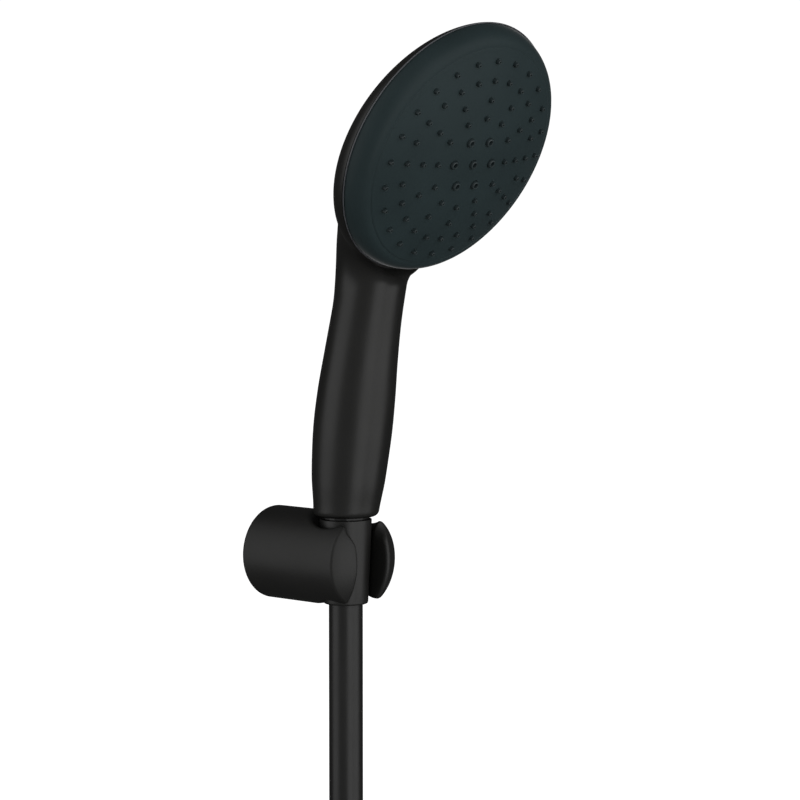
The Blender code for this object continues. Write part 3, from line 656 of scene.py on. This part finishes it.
def handle_rule(points):
    x, y, z = points.T
    height = z - HANDLE_LEVEL
    top = HANDLE_STATIONS[-1][0]
    for _ in range(5):
        height = np.clip(height, HANDLE_LOW, top)
        hook = np.maximum(0.0, height - HOOK_START)
        slope = HANDLE_LEAN + 2 * HANDLE_CURVE * height + 2 * HOOK_CURVE * hook
        bend = 2 * HANDLE_CURVE + 2 * HOOK_CURVE * (hook > 0)
        off_x = handle_axis(height) - x
        off_z = HANDLE_LEVEL + height - z
        pull = off_x * slope + off_z
        height = height - pull / np.maximum(slope ** 2 + 1 + off_x * bend, 0.3)
    height = np.clip(height, HANDLE_LOW, top)
    away = np.sqrt((x - handle_axis(height)) ** 2 + y ** 2
                   + (z - HANDLE_LEVEL - height) ** 2)
    return smooth_max(away - handle_radius(height), HANDLE_BOTTOM - z, FOOT_ROUND)


def housing_rule(points):
    behind = np.clip(-to_head(points)[:, 2] / NECK_DEPTH, 0.0, 1.0)
    blend = NECK_BLEND[0] + NECK_BLEND[1] * behind * behind * (3 - 2 * behind)
    return smooth_min(bowl_rule(points), handle_rule(points), blend)


def bowl_mesh(radius, depth, top, steps):
    profile = [(0.0, top), (radius, top), (radius, BOWL_EDGE)]
    for i in range(1, 13):
        angle = pi / 2 * i / 12
        profile.append((radius * cos(angle) if i < 12 else 0.0,
                        BOWL_EDGE - (depth + BOWL_EDGE) * sin(angle)))
    mesh = revolve(profile, steps)
    for vert in mesh.vertices:
        vert.co.x -= HEAD_SHEAR * max(0.0, BOWL_EDGE - vert.co.z)
    mesh.transform(HEAD)
    return mesh


def handle_mesh(low, high, less, count, sides):
    heights = [low + (high - low) * i / count for i in range(count + 1)]
    points = [(float(handle_axis(h)), 0.0, HANDLE_LEVEL + h) for h in heights]
    radii = [float(handle_radius(h)) - less for h in heights]
    return tube_mesh(points, radii, sides)


def make_housing():
    """Outer form settled on its rule, cut at the lip, then hollowed."""
    solid = join_meshes([bowl_mesh(HEAD_RADIUS, HEAD_DEPTH, 0.003, 96),
                         handle_mesh(0.0, 0.168, 0.0, 40, 48)], "housing")
    mesh = settle(voxels(solid, HOUSING_GRID), housing_rule, rounds=9, longest=0.0010)
    mesh = settle(voxels(mesh, HOUSING_GRID), housing_rule)
    above = [(0.0, 0.02), (HEAD_RADIUS + 0.018, 0.02), (HEAD_RADIUS + 0.001, LIP), (0.0, LIP)]
    mesh = boolean(mesh, revolve(above, 240, HEAD), "DIFFERENCE")
    cavity = bowl_mesh(HEAD_RADIUS - WALL, HEAD_DEPTH - WALL, 0.003, 96)
    mesh = boolean(mesh, cavity, "DIFFERENCE")
    mesh = boolean(mesh, handle_mesh(0.018, 0.140, BORE_WALL, 20, 24), "DIFFERENCE")
    inlet = revolve([(0.0, INLET_TOP), (INLET_RADIUS, INLET_TOP), (INLET_RADIUS, 0.010),
                     (0.0, 0.010)], 64, Matrix.Translation((NUT_X, 0.0, 0.0)))
    mesh = boolean(mesh, inlet, "DIFFERENCE")
    shade_from(mesh, lambda points: gradient(housing_rule, points))
    place_piece(new_object("handset_housing", mesh), "housing", "handset", "black_plastic",
                "handset_shell")


def make_rim():
    """Thin ring between the housing and the spray face; its light colour is a painted highlight for
    the bright line along the rim.
    """
    inner = FACE_RADIUS + GAP / 2
    outer = HEAD_RADIUS - 0.0001
    corners = [(inner, -0.0002), (outer, -0.0002), (outer, -0.0007), (inner, -0.0007)]
    profile = fillet(corners, [0.0001, 0.0003, 0.0001, 0.0], closed=True)
    piece = turned_piece("rim_trim", profile, HEAD, steps=192, closed=True)
    place_piece(piece, "rim", "handset", "face_plastic", "rim_ring")


def field_height(radius):
    return FIELD_HEIGHT - FIELD_CURVE + np.sqrt(FIELD_CURVE ** 2 - radius ** 2)


def face_profile():
    """Domed nozzle field, a small step, a sloping shoulder and the edge."""
    edge = float(field_height(FIELD_RADIUS))
    field = [(FIELD_RADIUS * i / 16, float(field_height(FIELD_RADIUS * i / 16)))
             for i in range(16)]
    step = [(FIELD_RADIUS - 0.0006, edge + 0.0001), (FIELD_RADIUS - 0.0001, edge),
            (FIELD_RADIUS + 0.0002, edge - 0.0004)]
    shoulder = []
    for i in range(1, 13):
        angle = pi / 2 * i / 12
        shoulder.append((FIELD_RADIUS + 0.0002 + (FACE_RADIUS - FIELD_RADIUS - 0.0002) * sin(angle),
                         FACE_EDGE + (edge - 0.0004 - FACE_EDGE) * cos(angle)))
    return field + step + shoulder


def ring_places(radius, count, first=NOZZLE_TURN):
    angles = [first + 2 * pi * i / count for i in range(count)]
    return [(radius * cos(angle), radius * sin(angle)) for angle in angles]


NOZZLE_PLACES = [spot for ring in NOZZLE_RINGS for spot in ring_places(*ring)]
CENTRE_PLACES = [(0.0, 0.0)] + ring_places(CENTRE_RING, 6, NOZZLE_TURN + pi / 6)


def repeated(profile, places, steps):
    """Copies of one turned form standing on the domed field."""
    meshes = []
    for x, y in places:
        radius = sqrt(x * x + y * y)
        level = Matrix.Translation((x, y, float(field_height(radius))))
        meshes.append(revolve(profile, steps, HEAD @ level))
    return join_meshes(meshes, "repeated")


def profile_slope(points):
    """Normals of the turned upper surface of the spray face."""
    x, y, z = to_head(points).T
    radius = np.maximum(np.hypot(x, y), 1e-9)
    line = np.array(face_profile())
    middle = (line[1:] + line[:-1]) / 2
    run = np.diff(line, axis=0)
    normal = np.stack([-run[:, 1], run[:, 0]], 1)
    normal /= np.linalg.norm(normal, axis=1)[:, None]
    travel = np.concatenate([[0.0], np.cumsum(np.linalg.norm(run, axis=1))])
    here = (travel[1:] + travel[:-1]) / 2
    nearest = ((line[None, :, 0] - radius[:, None]) ** 2
               + (line[None, :, 1] - z[:, None]) ** 2).argmin(1)
    at = travel[nearest]
    out = np.interp(at, here, normal[:, 0], left=0.0)
    up = np.interp(at, here, normal[:, 1], left=1.0)
    local = np.stack([out * x / radius, out * y / radius, up], 1)
    return local @ np.array(HEAD.to_3x3()).T


def make_face():
    """Domed plate with a sloping shoulder and a hole for each nozzle."""
    edge = float(field_height(FIELD_RADIUS))
    inner = [(FACE_RADIUS - FACE_THICKNESS, FACE_EDGE), (FACE_RADIUS - 0.0035, 0.0030),
             (FIELD_RADIUS - 0.0002, edge - FACE_THICKNESS)]
    for i in range(8, -1, -1):
        radius = FIELD_RADIUS * i / 9
        inner.append((radius, float(field_height(radius)) - FACE_THICKNESS))
    mesh = revolve(face_profile() + inner, 160, HEAD)
    for (above, at, below), places, steps in ((SMALL_HOLE, NOZZLE_PLACES, 20),
                                              (LARGE_HOLE, CENTRE_PLACES, 28)):
        hole = [(0.0, 0.004), (above, 0.004), (at, 0.0), (below, -0.0001), (below, -0.004),
                (0.0, -0.004)]
        mesh = boolean(mesh, repeated(hole, places, steps), "DIFFERENCE")
    shade_from(mesh, profile_slope, alike=0.93)
    place_piece(new_object("spray_plate", mesh), "face", "handset", "face_plastic", "spray_face")


def nozzle_profile(radius, hole, height, depth):
    """A soft nozzle: rounded lip, tapered side and the orifice down its middle."""
    corners = [(0.0, -0.0018), (hole * 0.7, -0.0016), (hole, height), (radius * 0.86, height),
               (radius, height * 0.35), (radius * 1.06, -depth), (0.0, -depth)]
    return fillet(corners, [0.0, 0.0, 0.0001, 0.0003, 0.0004, 0.0, 0.0], steps=3)


def nozzle_sheet(name, inner, outer, profile, places, node):
    """Sheet behind the face with a nozzle in every hole."""
    top = FACE_THICKNESS + 2 * GAP
    stops = [inner + (outer - inner) * i / 8 for i in range(9)]
    over = [(r, float(field_height(r)) - top) for r in stops]
    under = [(r, z - MAT_THICKNESS) for r, z in reversed(over)]
    sheet = revolve(over + under, 96, HEAD, closed=inner > 0)
    mesh = join_meshes([sheet, repeated(profile, places, 24)], name)
    piece = new_object(name, smooth_by_angle(mesh, 50.0))
    place_piece(piece, "silicone", "handset", "silicone", node)


def make_nozzles():
    base = FACE_THICKNESS + 2 * GAP
    small = nozzle_profile(*SMALL_NOZZLE, base)
    large = nozzle_profile(*LARGE_NOZZLE, base)
    nozzle_sheet("spray_nozzles", INSERT_RADIUS + GAP, FIELD_RADIUS - 0.0026, small,
                 NOZZLE_PLACES, "nozzle_mat")
    nozzle_sheet("centre_nozzles", 0.0, INSERT_RADIUS, large, CENTRE_PLACES,
                 "centre_nozzle_insert")


# --- nut, ties and end fittings -------------------------------------------------------------------
def make_nut():
    bore = THREAD_RADIUS + GAP
    corners = [(bore, NUT_TOP), (NUT_TOP_RADIUS, NUT_TOP), (NUT_BOTTOM_RADIUS, NUT_BOTTOM),
               (NUT_BORE, NUT_BOTTOM), (NUT_BORE, NUT_SHELF), (bore, NUT_SHELF)]
    profile = fillet(corners, [0.0002, 0.0004, 0.0022, 0.0002, 0.0, 0.0], closed=True)
    piece = turned_piece("union_nut", profile, Matrix.Translation((NUT_X, 0.0, 0.0)),
                         steps=160, closed=True)
    place_piece(piece, "nut", "handset", "black_metal", "cone_nut")


def make_tie(number, degrees):
    """Soft strap round the section of the coil."""
    low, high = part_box(f"coil_tie_{number}")
    middle = (low + high) / 2
    angle = radians(degrees)
    outward = Vector((0.0, cos(angle), -sin(angle)))
    along = Vector((1.0, 0.0, 0.0)).cross(outward)
    centre = Vector((middle.x, COIL_RADIUS * cos(angle), COIL_Z - COIL_RADIUS * sin(angle)))
    half_x = COIL_PITCH + GAP + 0.0001
    half_r = HOSE_RADIUS + 2 * GAP
    corner = TIE_CORNER
    loop = []
    for turn, (sx, sr) in enumerate(((1, 1), (-1, 1), (-1, -1), (1, -1))):
        for i in range(9):
            a = pi / 2 * (turn + i / 8)
            loop.append((sx * (half_x - corner), sr * (half_r - corner), cos(a), sin(a), corner))
    work = bmesh.new()
    width = TIE_HALF_WIDTH
    thick = TIE_THICKNESS
    section = fillet([(0.0, -width), (thick, -width), (thick, width), (0.0, width)],
                     [0.0003, 0.0007, 0.0007, 0.0003], closed=True, steps=3)
    rings = []
    for x, r, cx, cr, size in loop:
        ring = []
        for out, across in section:
            sag = across ** 2 / (2 * (COIL_RADIUS - HOSE_RADIUS)) * (1 if cr < 0 else 0)
            point = (centre + Vector((1, 0, 0)) * (x + cx * (size + out))
                     + outward * (r + cr * (size + out) - sag) + along * across)
            ring.append(work.verts.new(point))
        rings.append(ring)
    for i in range(len(rings)):
        first, second = rings[i], rings[(i + 1) % len(rings)]
        for k in range(len(section)):
            n = (k + 1) % len(section)
            work.faces.new((first[k], second[k], second[n], first[n]))
    bmesh.ops.recalc_face_normals(work, faces=work.faces[:])
    mesh = bpy.data.meshes.new("tie")
    work.to_mesh(mesh)
    work.free()
    smooth_by_angle(mesh, 50.0)
    piece = new_object(f"hose_tie_{number}", mesh)
    place_piece(piece, "rubber", "hose_line", "seal_rubber", f"coil_tie_{number}")
    return piece


def make_ferrule():
    """Crimped sleeve: a plain collar above a row of pressed grooves."""
    low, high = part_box("hose_ferrule_bottom")
    place = Matrix.Translation(((low.x + high.x) / 2, (low.y + high.y) / 2, 0.0))
    outer = (high.x - low.x) / 2
    pressed = outer - FERRULE_DEPTH
    corners = [(TAIL_BORE, high.z), (outer, high.z)]
    for i in range(FERRULE_GROOVES):
        z = high.z - 0.0035 - FERRULE_PITCH * i
        corners += [(outer, z + 0.0008), (pressed, z), (pressed, z - 0.0008), (outer, z - 0.0016)]
    corners += [(outer, low.z), (TAIL_BORE, low.z)]
    profile = fillet(corners, 0.0004, closed=True, steps=3)
    piece = turned_piece("hose_ferrule", profile, place, steps=96, closed=True)
    place_piece(piece, "brass", "hose_line", "brass", "hose_ferrule_bottom")
    return piece


def make_end_nut():
    """Hexagon nut with chamfered corners."""
    low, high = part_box("hose_end_nut")
    centre = Vector(END_NUT)
    place = Matrix.Translation((centre.x, centre.y, 0.0))
    work = bmesh.new()
    bmesh.ops.create_cone(work, cap_ends=True, segments=6, radius1=END_NUT_CORNER,
                          radius2=END_NUT_CORNER, depth=high.z - low.z)
    bmesh.ops.bevel(work, geom=work.edges[:], offset=0.0003, segments=2, affect="EDGES")
    mesh = bpy.data.meshes.new("hex")
    work.to_mesh(mesh)
    work.free()
    mesh.transform(Matrix.Translation(centre))
    cone = revolve([(0.0, high.z + 0.0002), (0.0120, high.z + 0.0002), (0.0150, high.z - 0.0024),
                    (0.0150, low.z + 0.0024), (0.0120, low.z - 0.0002), (0.0, low.z - 0.0002)],
                   96, place)
    mesh = boolean(mesh, cone, "INTERSECT")
    shelf = low.z + END_NUT_SHELF
    bore = revolve([(0.0, high.z + 0.003), (0.0078, high.z + 0.003), (0.0078, shelf),
                    (END_NUT_BORE, shelf), (END_NUT_BORE, low.z + 0.0008), (0.0106, low.z - 0.001),
                    (0.0, low.z - 0.001)], 96, place)
    mesh = boolean(mesh, bore, "DIFFERENCE")
    piece = new_object("hose_union_nut", smooth_by_angle(mesh, 28.0))
    place_piece(piece, "steel", "end_nut", "steel", "hose_end_nut")
    return piece


# --- room -----------------------------------------------------------------------------------
def level_direction(degrees):
    """Level direction out of the object: 0 towards the camera, more to its right."""
    back = Vector((sin(CAMERA_TURN), -cos(CAMERA_TURN), 0.0))
    right = Vector((cos(CAMERA_TURN), sin(CAMERA_TURN), 0.0))
    angle = radians(degrees)
    return back * cos(angle) + right * sin(angle)


def soft_box(name, degrees, rise, distance, width, height, radiance):
    """A rectangular area light that faces the object."""
    data = bpy.data.lights.new(name, "AREA")
    data.shape = "RECTANGLE"
    data.size = width
    data.size_y = height
    data.energy = radiance * pi * width * height
    lamp = bpy.data.objects.new(name, data)
    bpy.context.scene.collection.objects.link(lamp)
    lamp.location = LIGHT_AIM + level_direction(degrees) * distance + Vector((0.0, 0.0, rise))
    lamp.rotation_euler = (LIGHT_AIM - lamp.location).to_track_quat("-Z", "Y").to_euler()


def make_room():
    work = bmesh.new()
    bmesh.ops.create_grid(work, x_segments=4, y_segments=4, size=12.0)
    mesh = bpy.data.meshes.new("floor")
    work.to_mesh(mesh)
    work.free()
    floor = new_object("floor", mesh)
    floor.location = (0.0, 0.0, FLOOR_Z)
    pale = Look("floor_pale", (0.86, 0.86, 0.86), 0.9)
    pale.vary(pale.noise(0.8), 0.01, 0.02)
    pale.shader.inputs["Emission Color"].default_value = (1.0, 1.0, 1.0, 1.0)
    pale.shader.inputs["Emission Strength"].default_value = 1.0
    mesh.materials.append(pale.made)
    floor.visible_glossy = False
    floor.visible_diffuse = False

    world = bpy.data.worlds.new("studio")
    bpy.context.scene.world = world
    world.use_nodes = True
    tree = world.node_tree
    backdrop = tree.nodes["Background"]
    backdrop.inputs["Color"].default_value = (1.0, 1.0, 1.0, 1.0)
    backdrop.inputs["Strength"].default_value = 1.05
    room = tree.nodes.new("ShaderNodeBackground")
    place = tree.nodes.new("ShaderNodeTexCoord")
    facing = tree.nodes.new("ShaderNodeVectorMath")
    facing.operation = "DOT_PRODUCT"
    facing.inputs[1].default_value = level_direction(0.0)
    tree.links.new(place.outputs["Generated"], facing.inputs[0])
    level = tree.nodes.new("ShaderNodeMapRange")
    for name, value in (("From Min", -0.5), ("From Max", 0.6), ("To Min", 0.05), ("To Max", 0.30)):
        level.inputs[name].default_value = value
    tree.links.new(facing.outputs["Value"], level.inputs["Value"])
    tree.links.new(level.outputs["Result"], room.inputs["Strength"])
    rays = tree.nodes.new("ShaderNodeLightPath")
    mix = tree.nodes.new("ShaderNodeMixShader")
    tree.links.new(rays.outputs["Is Camera Ray"], mix.inputs["Fac"])
    tree.links.new(room.outputs["Background"], mix.inputs[1])
    tree.links.new(backdrop.outputs["Background"], mix.inputs[2])
    tree.links.new(mix.outputs["Shader"], tree.nodes["World Output"].inputs["Surface"])

    for box in LIGHT_BOXES:
        soft_box(*box)
    bpy.context.scene.view_settings.view_transform = "Standard"


# --- assembly -------------------------------------------------------------------------------
CAD_LOOKS = {
    "wall_bracket": "steel", "holder_grub_screw": "steel", "distributor_plate": "white",
    "distributor_screw_1": "steel", "distributor_screw_2": "steel",
    "distributor_screw_3": "steel", "chamber_seal": "rubber", "water_tube": "white",
    "tube_seal_upper": "rubber", "tube_seal_lower": "rubber", "inlet_connector": "collar",
    "inlet_filter": "steel", "flow_limiter": "white", "hose_washer_top": "rubber",
    "hose_tail_top": "brass", "hose_tail_bottom": "brass", "hose_washer_bottom": "rubber"}

LOOKS = make_looks()
HEAD = disc_frame("rim_ring", -RIM_MIDDLE)
make_camera()
hose, route = make_hose()
make_holder()
make_housing()
make_rim()
make_face()
make_nozzles()
make_nut()
on_hose = [make_tie(i + 1, degrees) for i, degrees in enumerate(TIE_ANGLES)]
on_hose += [make_ferrule(), make_end_nut()]
for node, look in CAD_LOOKS.items():
    dress(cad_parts[node], look)
    smooth_by_angle(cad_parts[node].data)
on_hose += [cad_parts[n] for n in ("hose_tail_bottom", "hose_washer_bottom")]
make_room()
